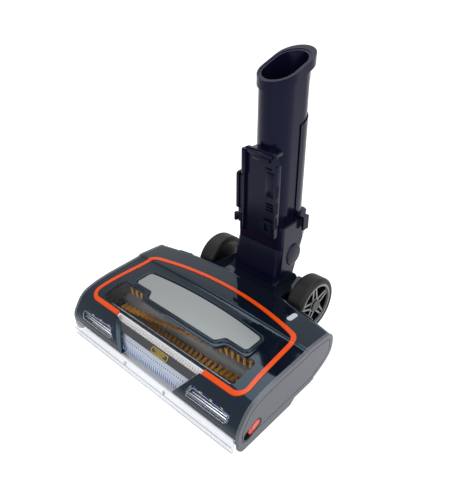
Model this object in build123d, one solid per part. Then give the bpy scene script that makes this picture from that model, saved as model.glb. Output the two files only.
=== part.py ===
from build123d import *
import os
from math import cos, radians, sin, tan

os.makedirs("parts", exist_ok=True)

# Head shell: millimetres, X across, Y to the back, Z up from the floor
HEAD_WIDTH = 300.0
PANEL_THICK = 4.0
NOSE_Y = -107.0
REAR_Y = 60.5
DECK_Z = 64.0
NOSE_TOP_Z = 26.0
SPLIT_Z = 11.0
SOLE_Z = 4.0
SOLE_FLAT = 95.0
CROWN = 1.5
REAR_BOW = 18.0
WALL = 2.5

# Gaps: between neighbouring pieces, and between a shaft and its hole
FIT = 0.3
RUN_FIT = 0.05

# Lid, trim loop, plaque and front openings
LOOP_MARGIN_FRONT = 9.0
LOOP_MARGIN_REAR = 16.5
LOOP_FRONT_Y = -86.0
LOOP_REAR_Y = 21.5
LOOP_REAR_BOW = 19.0
LOOP_CORNER = 16.0
TRIM_WIDTH = 5.5
TRIM_PROUD = 0.8
WINDOW_MARGIN = 20.0
WINDOW_REAR_Y = -36.0
PLAQUE_MARGIN = 31.5
PLAQUE_STEP = 31.5
PLAQUE_REAR_Y = -9.0
PLAQUE_BOW = 7.0
PLAQUE_END_Y = -34.5
PLAQUE_FRONT_Y = -46.0
PAD_MARGIN = 7.0
PAD_RISE = 2.0
PLAQUE_RISE = 1.0
POD_BOTTOM_Z = 24.0
CROSSBAR_Z = 43.5
RECESS = 5.0
JAMB = 2.2
COMB_PITCH = 4.0
BADGE_X = 10.0
BADGE_LENGTH = 30.0
BADGE_HEIGHT = 6.0

# Headlamps
LENS_LENGTH = 67.0
LENS_MARGIN = 15.0
LENS_LOW_Z = 33.5
LENS_TOP_Z = 46.5
LED_COUNT = 3
LED_R = 1.8

# Clear shield across the front
SHIELD_Y = -113.0
SHIELD_LOW_Z = 5.5
SHIELD_THICK = 2.2
SHIELD_RIB_X = 36.0

# Rollers, drive and bearings
ROLLER_Y = -76.0
ROLLER_R = 20.5
ROLLER_CORE_R = 14.0
BRUSH_Y = -29.5
BRUSH_R = 22.0
BRUSH_CORE_R = 11.0
BRUSH_ROWS = 4
BRUSH_TWIST = -120.0
FLOOR_GAP = 0.5
END_PLAY = 3.0
BELT_ROOM = 13.0
SHAFT_R = 4.0
BUSH_R = 7.0
END_WALL = 7.0
PULLEY_R = 9.0
MOTOR_PULLEY_R = 6.0
BELT_THICK = 1.5
BELT_WIDTH = 3.0
MOTOR_Y = 30.0
MOTOR_Z = 36.0
MOTOR_R = 16.0
MOTOR_INSET = 5.0
MOTOR_GAP = 4.0
RIB_GAP = 3.0
RIB_INSET = 5.6

# Release button on the right panel
BUTTON_Y = -85.0
BUTTON_Z = 23.5
BUTTON_TILT = 19.0
CUP_LENGTH = 30.0
CUP_WIDTH = 14.0
CUP_DEPTH = 5.8
BUTTON_LENGTH = 19.0
BUTTON_WIDTH = 9.5
BUTTON_TRAVEL = 2.0

# Indicator lens on the deck
LAMP_MARGIN = 46.0
LAMP_Y = 46.0
LAMP_LENGTH = 17.0
LAMP_WIDTH = 7.0

# Wheels, axle and pivot housing
AXLE_Y = 108.0
WHEEL_R = 38.0
WHEEL_WIDTH = 25.0
WHEEL_GAP = 6.5
ARCH_GAP = 3.0
RIM_R = 31.0
AXLE_R = 5.0
SPOKES = 5
CHEEK = 20.0
PIVOT_R = 30.0
PIVOT_FRONT_Y = 40.0
ROOF_Z = 61.0
ROOF_SLOPE = 11.0
BARREL_HALF = 41.0
BARREL_R = 26.5
SOLE_ROLLER_R = 7.0
SOLE_PIN_R = 1.5
SOLE_ROLLER_MARGIN = 41.0
SOLE_ROLLER_Y = 8.0

# Neck: its own frame starts at axle height, leaning back
NECK_FOOT_Y = 134.4
NECK_LEAN = 3.9
COLLAR_LOW = 63.0
COLLAR_TOP = 95.0
COLLAR_HALF = 38.0
COLLAR_FRONT = -39.0
COLLAR_SIDE = 12.0
COLLAR_REAR = 36.5
SPIGOT_R = 27.0
SPIGOT_LONG = 6.0
TUBE_HALF_WIDE = 24.5
TUBE_HALF_DEEP = 34.0
TUBE_WALL = 3.0
TUBE_SEAT = 70.0
MOUTH_MID = 286.5
MOUTH_SLOPE = 20.0
FLANGE_TALL = 10.0
FLANGE_PROUD = 2.5
LIP_EXTRA = 6.0
COVER_PROUD = 1.2
COVER_EDGE = 5.0
COVER_DROP = 66.0
CLIP_FRONT = -45.0
CLIP_THICK = 4.0
CLIP_LEFT = -20.0
CLIP_RIGHT = 33.0
CLIP_LOW = 82.0
CLIP_TOP = 195.0
WING_LOW = 106.0
WING_TOP = 158.0
HOOK_LOW = 76.0
HOOK_TOP = 100.0

# Places worked out from the sizes above
HALF = HEAD_WIDTH / 2 - PANEL_THICK
LOOP_HALF_FRONT = HALF - LOOP_MARGIN_FRONT
LOOP_HALF_REAR = HALF - LOOP_MARGIN_REAR
WINDOW_HALF = LOOP_HALF_FRONT - WINDOW_MARGIN
PLAQUE_HALF = LOOP_HALF_REAR - PLAQUE_MARGIN
PLAQUE_STEP_HALF = PLAQUE_HALF - PLAQUE_STEP
LENS_OUT_X = HALF - LENS_MARGIN
LENS_IN_X = LENS_OUT_X - LENS_LENGTH
POD_INNER_X = LENS_IN_X - 17.5
TRIM_END_X = LENS_IN_X + 13
END_WALL_X = HALF - END_WALL
ROLLER_RIGHT_X = END_WALL_X - END_PLAY
ROLLER_LEFT_X = BELT_ROOM - END_WALL_X
MOTOR_LEFT_X = ROLLER_LEFT_X + MOTOR_INSET
LAMP_X = HALF - LAMP_MARGIN
SOLE_ROLLER_X = HALF - SOLE_ROLLER_MARGIN
PIVOT_HALF = BARREL_HALF + CHEEK
MOTOR_LENGTH = -PIVOT_HALF - MOTOR_GAP - MOTOR_LEFT_X
WHEEL_IN_X = PIVOT_HALF + WHEEL_GAP
WHEEL_OUT_X = WHEEL_IN_X + WHEEL_WIDTH
AXLE_Z = WHEEL_R
ROLLER_Z = ROLLER_R + FLOOR_GAP
BRUSH_Z = BRUSH_R + FLOOR_GAP
SKY = DECK_Z + CROWN + 20
FAR = 2 * HEAD_WIDTH
nodes = {}


def polygon(points, radius=0.0):
    """Closed flat outline with every corner rounded by radius."""
    face = make_face(Polyline(*points, close=True))
    if radius > 0:
        face = fillet(face.vertices(), radius)
    return face


def plan_prism(face, low, high):
    """Upright prism over an outline drawn in X and Y."""
    return Pos(0, 0, low) * extrude(face, amount=high - low)


def front_prism(face, near, far):
    """Prism along Y from near to far over an outline drawn in X and Z."""
    return Pos(0, far, 0) * Rot(90, 0, 0) * extrude(face, amount=far - near)


def side_prism(face, left, right):
    """Prism along X from left to right over an outline drawn in Y and Z."""
    return Pos(left, 0, 0) * extrude(Plane.YZ * face, amount=right - left)


def block(x0, x1, y0, y1, z0, z1):
    """Plain block between two corners."""
    return Pos((x0 + x1) / 2, (y0 + y1) / 2, (z0 + z1) / 2) * Box(x1 - x0, y1 - y0, z1 - z0)


def rod(y, z, radius, x0, x1):
    """Round bar along X."""
    return Pos((x0 + x1) / 2, y, z) * Rot(0, 90, 0) * Cylinder(radius, x1 - x0)


def mirrored(shape):
    """The same piece on the other side of the head."""
    return mirror(shape, about=Plane.YZ)


# Head shell: a loft through three crowned cross-sections
def ease(y):
    """Share of the crown reached at depth y, from the nose to the deck."""
    s = min(max((y - NOSE_Y - 17) / 70, 0), 1)
    return s * s * (3 - 2 * s)


def shell_face(x, grow, base):
    """Cross-section of the head at x, moved outwards by grow and cut off level at base."""
    share = 1 - (x / HALF) ** 2
    top_line = (
        (NOSE_Y, NOSE_TOP_Z, -1.0, 0.0),
        (NOSE_Y + 6.5, DECK_Z - 22, -0.9, 0.44),
        (NOSE_Y + 19, DECK_Z - 8.5, -0.6, 0.8),
        (NOSE_Y + 37, DECK_Z - 2.5, -0.2, 0.98),
        (NOSE_Y + 72, DECK_Z, 0.0, 1.0),
        (REAR_Y - 50, DECK_Z + 0.5, 0.0, 1.0),
        (REAR_Y - 11, DECK_Z - 2, 0.12, 0.99),
    )
    rear_line = (
        (REAR_Y - 11, DECK_Z - 2, 0.12, 0.99),
        (REAR_Y - 2.4, DECK_Z - 7, 0.85, 0.52),
        (REAR_Y, DECK_Z - 17, 1.0, 0.0),
        (REAR_Y - 3.5, DECK_Z - 32, 0.9, -0.44),
        (REAR_Y - 16.5, DECK_Z - 42.5, 0.5, -0.87),
        (REAR_Y - 37, SPLIT_Z + 2, 0.4, -0.92),
    )

    def place(y, z, ny, nz):
        up = CROWN * share * ease(y) * (z - SPLIT_Z) / (DECK_Z - SPLIT_Z)
        back = REAR_BOW * share * max(y / REAR_Y, 0)
        return y + back + grow * ny, z + up + grow * nz

    upper = [place(*p) for p in top_line]
    lower = [place(*p) for p in rear_line]
    low_front = (upper[0][0], base)
    low_rear = (lower[-1][0], base)
    top = Spline(*upper, tangents=((0, 1), (0.99, -0.12)))
    rear = Spline(*lower)
    edges = [Line(low_front, upper[0]), top, rear, Line(lower[-1], low_rear), Line(low_rear, low_front)]
    return Pos(x, 0, 0) * (Plane.YZ * make_face(edges))


def shell(grow, base, half):
    """Solid head form, grown outwards by grow, between -half and half."""
    return loft([shell_face(k * half, grow, base) for k in (-1, 0, 1)])


form = shell(0, SPLIT_Z, HALF)
hollow = shell(-WALL, SPLIT_Z - 6, HALF - WALL)
core = shell(-WALL - FIT, SPLIT_Z, HALF - WALL - FIT)
skin = form - hollow


# Outlines in plan: trim loop, lid, window, pad and plaque
def loop_outline(inset):
    """Rounded loop outline with a bowed rear edge."""
    front = LOOP_FRONT_Y + inset
    rear = LOOP_REAR_Y - inset
    wide = LOOP_HALF_FRONT - inset
    narrow = LOOP_HALF_REAR - inset
    lines = [
        Line((-narrow, rear), (-wide, front)),
        Line((-wide, front), (wide, front)),
        Line((wide, front), (narrow, rear)),
        ThreePointArc((narrow, rear), (0, rear + LOOP_REAR_BOW), (-narrow, rear)),
    ]
    face = make_face(lines)
    return fillet(face.vertices(), LOOP_CORNER - inset)


def plaque_outline(grow):
    """Long plaque with a bowed rear edge, deeper in the middle, with slanted steps at the front."""
    step = 8.0
    end = PLAQUE_HALF + grow
    notch = PLAQUE_STEP_HALF + grow
    rear = PLAQUE_REAR_Y + grow
    points = [
        (-end, rear),
        (-end, PLAQUE_END_Y - grow),
        (-notch, PLAQUE_END_Y - grow),
        (step - notch, PLAQUE_FRONT_Y - grow),
        (notch - step, PLAQUE_FRONT_Y - grow),
        (notch, PLAQUE_END_Y - grow),
        (end, PLAQUE_END_Y - grow),
        (end, rear),
    ]
    arc = ThreePointArc((end, rear), (0, rear + PLAQUE_BOW), (-end, rear))
    face = make_face([Polyline(*points), arc])
    return fillet(face.vertices(), 5.0)


loop_hole = plan_prism(loop_outline(-FIT / 2), 30, SKY)
loop_ring = plan_prism(loop_outline(0), 30, SKY) - plan_prism(loop_outline(TRIM_WIDTH), 30, SKY)
lid_prism = plan_prism(loop_outline(TRIM_WIDTH + FIT), 30, SKY)
window_low_y = LOOP_FRONT_Y + TRIM_WIDTH + FIT
window_face = Pos(0, (window_low_y + WINDOW_REAR_Y) / 2) * Rectangle(
    2 * WINDOW_HALF, WINDOW_REAR_Y - window_low_y - 2 * WALL
)
window_hole = plan_prism(fillet(window_face.vertices(), 6), 30, SKY)
window_prism = plan_prism(fillet(offset(window_face, -FIT).vertices(), 6 - FIT), 30, SKY)
front_cut = polygon(
    [
        (-POD_INNER_X + 10, SOLE_Z),
        (-POD_INNER_X, POD_BOTTOM_Z),
        (-TRIM_END_X, DECK_Z - 4),
        (TRIM_END_X, DECK_Z - 4),
        (POD_INNER_X, POD_BOTTOM_Z),
        (POD_INNER_X - 10, SOLE_Z),
    ]
)
front_hole = front_prism(front_cut, SHIELD_Y, LOOP_FRONT_Y + TRIM_WIDTH)
front_fill = front_prism(offset(front_cut, -FIT), SHIELD_Y, LOOP_FRONT_Y + TRIM_WIDTH)

# Headlamp outlines in X and Z
lens_face = polygon(
    [
        (LENS_IN_X, LENS_LOW_Z),
        (LENS_OUT_X, LENS_LOW_Z),
        (LENS_OUT_X + 3, LENS_TOP_Z - 1.5),
        (LENS_IN_X + 8, LENS_TOP_Z),
    ],
    3.0,
)
lens_hole = front_prism(lens_face, SHIELD_Y, ROLLER_Y)
lens_prism = front_prism(offset(lens_face, -FIT), SHIELD_Y, ROLLER_Y)

# Indicator lens, button cup and pivot outlines
lamp_face = Pos(LAMP_X, LAMP_Y) * SlotOverall(LAMP_LENGTH, LAMP_WIDTH, rotation=90)
cup_place = Pos(BUTTON_Y, BUTTON_Z) * Rot(0, 0, BUTTON_TILT)
cup_face = cup_place * SlotOverall(CUP_LENGTH, CUP_WIDTH)
cup_hole = side_prism(offset(cup_face, FIT), HALF - WALL - 1, HEAD_WIDTH / 2 + 1)
pivot_top = DECK_Z - WALL
pivot_gap = block(-PIVOT_HALF - FIT, PIVOT_HALF + FIT, PIVOT_FRONT_Y - FIT, FAR, -5, pivot_top + FIT)

# Top housing: shell with the lid, lamp, front and pivot openings
jamb_face = offset(front_cut, JAMB)
jamb_skin = form - shell(-RECESS - WALL - 1, SPLIT_Z - 6, HALF)
jamb = jamb_skin & front_prism(jamb_face, SHIELD_Y, LOOP_FRONT_Y - FIT)
housing = (skin + jamb) - loop_hole - front_hole - lens_hole - mirrored(lens_hole)
housing = housing - block(-HALF - 1, HALF + 1, SHIELD_Y, ROLLER_Y - ROLLER_R + 6, 0, POD_BOTTOM_Z)
housing = housing - pivot_gap - plan_prism(offset(lamp_face, FIT), 40, SKY)
arch = rod(AXLE_Y, AXLE_Z, WHEEL_R + ARCH_GAP, PIVOT_HALF, WHEEL_OUT_X + ARCH_GAP)
housing = housing - arch - mirrored(arch)
nodes["top_housing"] = housing - cup_hole

# Trim loop and comb strip: one ring over the skin, parted at the trim ends
proud_skin = shell(TRIM_PROUD, SPLIT_Z, HALF) - hollow
ring = proud_skin & loop_ring
gap_block = block(-TRIM_END_X, TRIM_END_X, SHIELD_Y, LOOP_FRONT_Y + 2 * TRIM_WIDTH, 0, SKY)
nodes["loop_trim"] = ring - gap_block
sunk_skin = shell(-RECESS, SPLIT_Z, HALF) - shell(-RECESS - WALL, SPLIT_Z - 6, HALF)
comb = (sunk_skin & loop_ring) & block(
    -TRIM_END_X + FIT, TRIM_END_X - FIT, SHIELD_Y, LOOP_FRONT_Y + 2 * TRIM_WIDTH, 0, SKY
)
tooth_count = int((TRIM_END_X - 4) / COMB_PITCH)
slots = [
    block(k * COMB_PITCH - 0.8, k * COMB_PITCH + 0.8, LOOP_FRONT_Y - 5, LOOP_FRONT_Y + 3.4, 30, SKY)
    for k in range(-tooth_count, tooth_count + 1)
]
nodes["comb_strip"] = comb - slots

# Lid: frame with raised pad, smoky window and plaque
pad_prism = plan_prism(plaque_outline(PAD_MARGIN), 30, SKY)
pad = (shell(PAD_RISE, SPLIT_Z, HALF) - hollow) & pad_prism
nodes["lid_frame"] = ((skin & lid_prism) - window_hole) + pad
nodes["lid_window"] = (skin & window_prism) - plan_prism(plaque_outline(PAD_MARGIN + FIT), 30, SKY)
plaque_skin = shell(PAD_RISE + PLAQUE_RISE, SPLIT_Z, HALF) - shell(PAD_RISE, SPLIT_Z - 1, HALF + 1)
nodes["lid_plaque"] = plaque_skin & plan_prism(plaque_outline(0), 30, SKY)

# Crossbar, badge and ribbed front window between the lamp pods
front_skin = (sunk_skin & front_fill) - loop_hole
nodes["lid_crossbar"] = front_skin & block(-HALF, HALF, SHIELD_Y, 0, CROSSBAR_Z, SKY)
nodes["front_window"] = front_skin & block(-HALF, HALF, SHIELD_Y, 0, SPLIT_Z + 2, CROSSBAR_Z - FIT)
badge_z = CROSSBAR_Z + BADGE_HEIGHT / 2 + 0.8
badge_face = Pos(BADGE_X, badge_z) * SlotOverall(BADGE_LENGTH, BADGE_HEIGHT)
badge_skin = shell(0.6 - RECESS, SPLIT_Z, HALF) - shell(-RECESS, SPLIT_Z - 1, HALF + 1)
nodes["badge_plate"] = badge_skin & front_prism(badge_face, SHIELD_Y, LOOP_FRONT_Y - 1)

# Clear shield: folded strip with a bead and two small ribs
shield_line = [
    (NOSE_Y + 1, POD_BOTTOM_Z - FIT),
    (SHIELD_Y + 2, POD_BOTTOM_Z - 2),
    (SHIELD_Y + 0.6, SHIELD_LOW_Z + 9),
    (SHIELD_Y, SHIELD_LOW_Z + 8),
    (SHIELD_Y, SHIELD_LOW_Z),
    (SHIELD_Y + SHIELD_THICK, SHIELD_LOW_Z),
    (SHIELD_Y + SHIELD_THICK, SHIELD_LOW_Z + 8),
    (SHIELD_Y + SHIELD_THICK + 1.8, POD_BOTTOM_Z - 4),
    (NOSE_Y + 1, POD_BOTTOM_Z - FIT - SHIELD_THICK),
]
shield = side_prism(polygon(shield_line), -HALF, HALF)
rib_line = [
    (SHIELD_Y + SHIELD_THICK - 0.5, SHIELD_LOW_Z + 6),
    (SHIELD_Y + SHIELD_THICK + 1, POD_BOTTOM_Z - 4),
    (NOSE_Y - 1, POD_BOTTOM_Z - FIT - SHIELD_THICK),
]
rib = side_prism(polygon(rib_line), SHIELD_RIB_X - 0.8, SHIELD_RIB_X + 0.8)
nodes["front_shield"] = shield + rib + mirrored(rib)

# Headlamps: lens in the skin, bent reflector, board with lamps showing through it
lens = (shell(0.4, SPLIT_Z, HALF) - hollow) & lens_prism
mid_z = (LENS_LOW_Z + LENS_TOP_Z) / 2 + 1
reflector_line = [
    (NOSE_Y + 7.2, LENS_LOW_Z + 1),
    (NOSE_Y + 12.4, LENS_LOW_Z + 3),
    (NOSE_Y + 13.4, LENS_TOP_Z - 3),
    (NOSE_Y + 12.2, LENS_TOP_Z - 2.9),
    (NOSE_Y + 11.2, LENS_LOW_Z + 4.1),
    (NOSE_Y + 7.4, LENS_LOW_Z + 2.4),
]
led_step = (LENS_OUT_X - LENS_IN_X) / (LED_COUNT + 1)
led_x = [LENS_IN_X + 3 + led_step * (k + 1) for k in range(LED_COUNT)]
led_near = NOSE_Y + 10.6
led_far = NOSE_Y + 14.4
leds = [front_prism(Pos(x, mid_z) * Circle(LED_R), led_near, led_far) for x in led_x]
led_holes = [front_prism(Pos(x, mid_z) * Circle(LED_R + FIT), led_near, led_far) for x in led_x]
reflector = side_prism(polygon(reflector_line), LENS_IN_X + 5, LENS_OUT_X - 1) - led_holes
board_near = led_far - 0.6
board = block(LENS_IN_X + 8, LENS_OUT_X - 3, board_near, board_near + 1.4, LENS_LOW_Z + 4.5, LENS_TOP_Z - 3)
board = board + leds
for side, turn in (("right", lambda s: s), ("left", mirrored)):
    nodes["lamp_lens_" + side] = turn(lens)
    nodes["lamp_reflector_" + side] = turn(reflector)
    nodes["lamp_board_" + side] = turn(board)

# Indicator lens in the deck
lamp_skin = shell(0.6, SPLIT_Z, HALF) - hollow
nodes["indicator_lens"] = lamp_skin & plan_prism(lamp_face, 40, SKY)

# Side panels: the end outline, reaching down over the sole, with a parting groove
panel_outer = shell_face(HALF, 0, SPLIT_Z)
panel = extrude(panel_outer, amount=PANEL_THICK, dir=(1, 0, 0))
skirt_line = [
    (NOSE_Y, SPLIT_Z + 6),
    (NOSE_Y, SOLE_Z + 5),
    (NOSE_Y + 5, SOLE_Z),
    (NOSE_Y + 86, SOLE_Z),
    (NOSE_Y + SOLE_FLAT, SOLE_Z + 6),
    (REAR_Y - 42, SOLE_Z + 6),
    (REAR_Y - 37.5, SPLIT_Z + 1),
    (REAR_Y - 37.5, SPLIT_Z + 6),
]
panel = panel + side_prism(polygon(skirt_line), HALF, HALF + PANEL_THICK)
groove_far = extrude(shell_face(HALF, -6.0, SPLIT_Z + 6), amount=PANEL_THICK, dir=(1, 0, 0))
groove_near = extrude(shell_face(HALF, -6.9, SPLIT_Z + 6.9), amount=PANEL_THICK, dir=(1, 0, 0))
groove = Pos(PANEL_THICK - 0.6, 0, 0) * (groove_far - groove_near)
panel = panel - groove
nodes["side_panel_left"] = mirrored(panel)
nodes["side_panel_right"] = panel - cup_hole

# Release button in its oval cup
cup_right = HEAD_WIDTH / 2 - 0.3
cup = side_prism(cup_face, cup_right - CUP_DEPTH, cup_right)
cup = cup - side_prism(offset(cup_face, -1.2), cup_right - CUP_DEPTH + 1, cup_right + 1)
button_off = (CUP_LENGTH - BUTTON_LENGTH) / 2 - 2
button_face = cup_place * Pos(button_off, 0) * SlotOverall(BUTTON_LENGTH, BUTTON_WIDTH)
button_back = cup_right - CUP_DEPTH + 1 + BUTTON_TRAVEL + 0.2
nodes["button_cup"] = cup
nodes["release_button"] = side_prism(button_face, button_back, HEAD_WIDTH / 2 - 0.1)

# Sole chassis: floor with roller openings, end walls, chamber wall, divider and motor ribs
inner_end = HALF - WALL - FIT
floor_line = [
    (-HALF + FIT, NOSE_Y + 9),
    (HALF - FIT, NOSE_Y + 9),
    (HALF - FIT, REAR_Y - 41),
    (-HALF + FIT, REAR_Y - 41),
]
floor_low = plan_prism(polygon(floor_line), SOLE_Z, SPLIT_Z)
floor_low = floor_low - block(-HALF, HALF, NOSE_Y + SOLE_FLAT, REAR_Y, 0, SPLIT_Z - 3)
chamber_left = ROLLER_LEFT_X - 1.2
roller_rear = ROLLER_Y + ROLLER_R + 1
brush_front = BRUSH_Y - BRUSH_R - 1
brush_rear = BRUSH_Y + BRUSH_R + 1
floor_low = floor_low - block(chamber_left, END_WALL_X, NOSE_Y - 5, roller_rear, 0, 30)
floor_low = floor_low - block(chamber_left, END_WALL_X, brush_front, brush_rear, 0, 30)
belt_bay = block(-END_WALL_X, chamber_left, ROLLER_Y - 16, BRUSH_Y + 16, SPLIT_Z - 2, SPLIT_Z + 1)
floor_low = floor_low - belt_bay
slabs = [
    block(END_WALL_X, inner_end + 1, NOSE_Y, brush_rear + 20, SPLIT_Z, SKY),
    block(-inner_end - 1, -END_WALL_X, NOSE_Y, brush_rear + 20, SPLIT_Z, SKY),
    block(chamber_left, END_WALL_X + 1, brush_rear, brush_rear + WALL, SPLIT_Z, SKY),
    block(chamber_left, END_WALL_X + 1, roller_rear, brush_front, SPLIT_Z, BRUSH_Z),
]
pocket_half = SOLE_ROLLER_R + 2
first_rib_x = pocket_half + RIB_GAP - SOLE_ROLLER_X
last_rib_x = MOTOR_LEFT_X + MOTOR_LENGTH - RIB_INSET
for rib_x in (first_rib_x, last_rib_x):
    slabs.append(block(rib_x - 2, rib_x + 2, MOTOR_Y - 20, MOTOR_Y + 20, SPLIT_Z, MOTOR_Z - 4))
chassis = floor_low
for slab in slabs:
    chassis = chassis + (slab & core)
front_bevel = block(-HALF, HALF, SHIELD_Y, NOSE_Y + 20, LENS_LOW_Z - 3, SKY)
chassis = chassis - front_bevel
for y, z in ((ROLLER_Y, ROLLER_Z), (BRUSH_Y, BRUSH_Z)):
    chassis = chassis - rod(y, z, BUSH_R + RUN_FIT, -HALF, HALF)
chassis = chassis - rod(MOTOR_Y, MOTOR_Z, MOTOR_R + RUN_FIT, -HALF + 20, HALF)
duct_half = BARREL_HALF - 3
DUCT_LOW = BRUSH_Z + 3
DUCT_TOP = DECK_Z - 12
port_half = duct_half - 2
port = block(-port_half, port_half, brush_rear - 1, brush_rear + WALL + 1, DUCT_LOW + 2, DUCT_TOP - 2)
chassis = chassis - port
for sx in (-1, 1):
    x = sx * SOLE_ROLLER_X
    chassis = chassis - block(
        x - pocket_half, x + pocket_half, SOLE_ROLLER_Y - pocket_half, SOLE_ROLLER_Y + pocket_half, 0, 30
    )
    for lug in (-1, 1):
        lx = x + lug * (pocket_half - 1.5)
        chassis = chassis + block(
            lx - 1.5, lx + 1.5, SOLE_ROLLER_Y - 3, SOLE_ROLLER_Y + pocket_half, SOLE_ROLLER_R - 3, SPLIT_Z
        )
    pin_half = pocket_half - 0.5
    chassis = chassis + rod(SOLE_ROLLER_Y, SOLE_ROLLER_R, SOLE_PIN_R, x - pin_half, x + pin_half)
nodes["sole_chassis"] = chassis

# Sole rollers on pins moulded into the chassis
for side, sx in (("left", -1), ("right", 1)):
    x = sx * SOLE_ROLLER_X
    half = pocket_half - 3.5
    wheel = rod(SOLE_ROLLER_Y, SOLE_ROLLER_R, SOLE_ROLLER_R, x - half, x + half)
    bore = rod(SOLE_ROLLER_Y, SOLE_ROLLER_R, SOLE_PIN_R + RUN_FIT, x - 20, x + 20)
    nodes["sole_roller_" + side] = wheel - bore

# Rear seal strip under the sole
seal_y = brush_rear + WALL / 2
nodes["rear_seal_strip"] = block(
    chamber_left + 10, END_WALL_X - 10, seal_y - 1.2, seal_y + 1.2, FLOOR_GAP + 0.5, SPLIT_Z - 3
)


# Soft roller, bristle brush and their bushes
def shaft_body(y, z, radius):
    """Roller body with a thin shaft out of both ends."""
    bar = rod(y, z, radius, ROLLER_LEFT_X, ROLLER_RIGHT_X)
    return bar + rod(y, z, SHAFT_R, -inner_end + 0.5, inner_end - 0.5)


nodes["roller_core"] = shaft_body(ROLLER_Y, ROLLER_Z, ROLLER_CORE_R)
sleeve = rod(ROLLER_Y, ROLLER_Z, ROLLER_R, ROLLER_LEFT_X + 1, ROLLER_RIGHT_X - 1)
nodes["roller_sleeve"] = sleeve - rod(ROLLER_Y, ROLLER_Z, ROLLER_CORE_R + RUN_FIT, -HALF, HALF)
nodes["brush_core"] = shaft_body(BRUSH_Y, BRUSH_Z, BRUSH_CORE_R)


def bristle_row(start):
    """One bristle row, lofted through blades that turn along the core."""
    blades = []
    steps = 6
    for k in range(steps + 1):
        turn = start + BRUSH_TWIST * k / steps
        x = ROLLER_LEFT_X + 4 + (ROLLER_RIGHT_X - ROLLER_LEFT_X - 8) * k / steps
        blade = Pos(0, (BRUSH_CORE_R + BRUSH_R) / 2 - 0.4) * Rectangle(2.4, BRUSH_R - BRUSH_CORE_R + 0.8)
        place = Pos(x, BRUSH_Y, BRUSH_Z) * Rot(turn, 0, 0)
        blades.append(place * (Plane.YZ * blade))
    return loft(blades)


base_row = bristle_row(0)
strip = rod(BRUSH_Y, BRUSH_Z, BRUSH_CORE_R + 0.8, ROLLER_LEFT_X + 3, ROLLER_RIGHT_X - 3)
for k in range(BRUSH_ROWS):
    turn = Pos(0, BRUSH_Y, BRUSH_Z) * Rot(360 / BRUSH_ROWS * k, 0, 0) * Pos(0, -BRUSH_Y, -BRUSH_Z)
    strip = strip + turn * base_row
nodes["brush_bristles"] = strip - rod(BRUSH_Y, BRUSH_Z, BRUSH_CORE_R + RUN_FIT, -HALF, HALF)

bush_bore = SHAFT_R + RUN_FIT
for side, sx in (("left", -1), ("right", 1)):
    x0, x1 = sorted((sx * (END_WALL_X + 0.2), sx * (inner_end - 0.2)))
    for name, y, z in (("roller", ROLLER_Y, ROLLER_Z), ("brush", BRUSH_Y, BRUSH_Z)):
        bush = rod(y, z, BUSH_R, x0, x1) - rod(y, z, bush_bore, x0 - 1, x1 + 1)
        nodes[name + "_bush_" + side] = bush

# Pulleys, belts and motor
belt_a = -inner_end + 7.2
belt_b = belt_a + BELT_WIDTH + 2
flange = 0.9


def pulley(y, z, radius, x0, x1, bore):
    """Grooved pulley with two thin flanges."""
    rim_r = radius + BELT_THICK
    body = rod(y, z, radius, x0, x1)
    body = body + rod(y, z, rim_r, x0, x0 + flange)
    body = body + rod(y, z, rim_r, x1 - flange, x1)
    return body - rod(y, z, bore, x0 - 1, x1 + 1)


def belt(ya, za, ra, yb, zb, rb, x0):
    """Belt wrapped round two pulleys."""
    inner = make_hull((Pos(ya, za) * Circle(ra)).edges() + (Pos(yb, zb) * Circle(rb)).edges())
    t = BELT_THICK
    outer = make_hull((Pos(ya, za) * Circle(ra + t)).edges() + (Pos(yb, zb) * Circle(rb + t)).edges())
    return side_prism(outer - inner, x0, x0 + BELT_WIDTH)


grow = RUN_FIT
edge = flange + 0.2
a_far = belt_a + BELT_WIDTH + edge
b_far = belt_b + BELT_WIDTH + edge
brush_pulley = pulley(BRUSH_Y, BRUSH_Z, PULLEY_R, belt_a - edge, a_far, bush_bore)
brush_pulley = brush_pulley + pulley(BRUSH_Y, BRUSH_Z, PULLEY_R, belt_b - edge, b_far, bush_bore)
nodes["brush_pulley"] = brush_pulley
nodes["roller_pulley"] = pulley(ROLLER_Y, ROLLER_Z, PULLEY_R, belt_b - edge, b_far, bush_bore)
motor_pulley = pulley(MOTOR_Y, MOTOR_Z, MOTOR_PULLEY_R, belt_a - edge, a_far, 1.0)
motor_shaft_r = 3.0
shaft = rod(MOTOR_Y, MOTOR_Z, motor_shaft_r, belt_a - edge, MOTOR_LEFT_X + 12)
nodes["motor_pulley"] = motor_pulley + shaft
nodes["motor_belt"] = belt(
    MOTOR_Y, MOTOR_Z, MOTOR_PULLEY_R + grow, BRUSH_Y, BRUSH_Z, PULLEY_R + grow, belt_a
)
nodes["roller_belt"] = belt(
    BRUSH_Y, BRUSH_Z, PULLEY_R + grow, ROLLER_Y, ROLLER_Z, PULLEY_R + grow, belt_b
)
motor = rod(MOTOR_Y, MOTOR_Z, MOTOR_R, MOTOR_LEFT_X, MOTOR_LEFT_X + MOTOR_LENGTH)
motor = chamfer(motor.edges(), 1.5)
motor = motor - rod(MOTOR_Y, MOTOR_Z, motor_shaft_r + RUN_FIT, MOTOR_LEFT_X - 1, MOTOR_LEFT_X + 13)
nodes["drive_motor"] = motor

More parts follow.
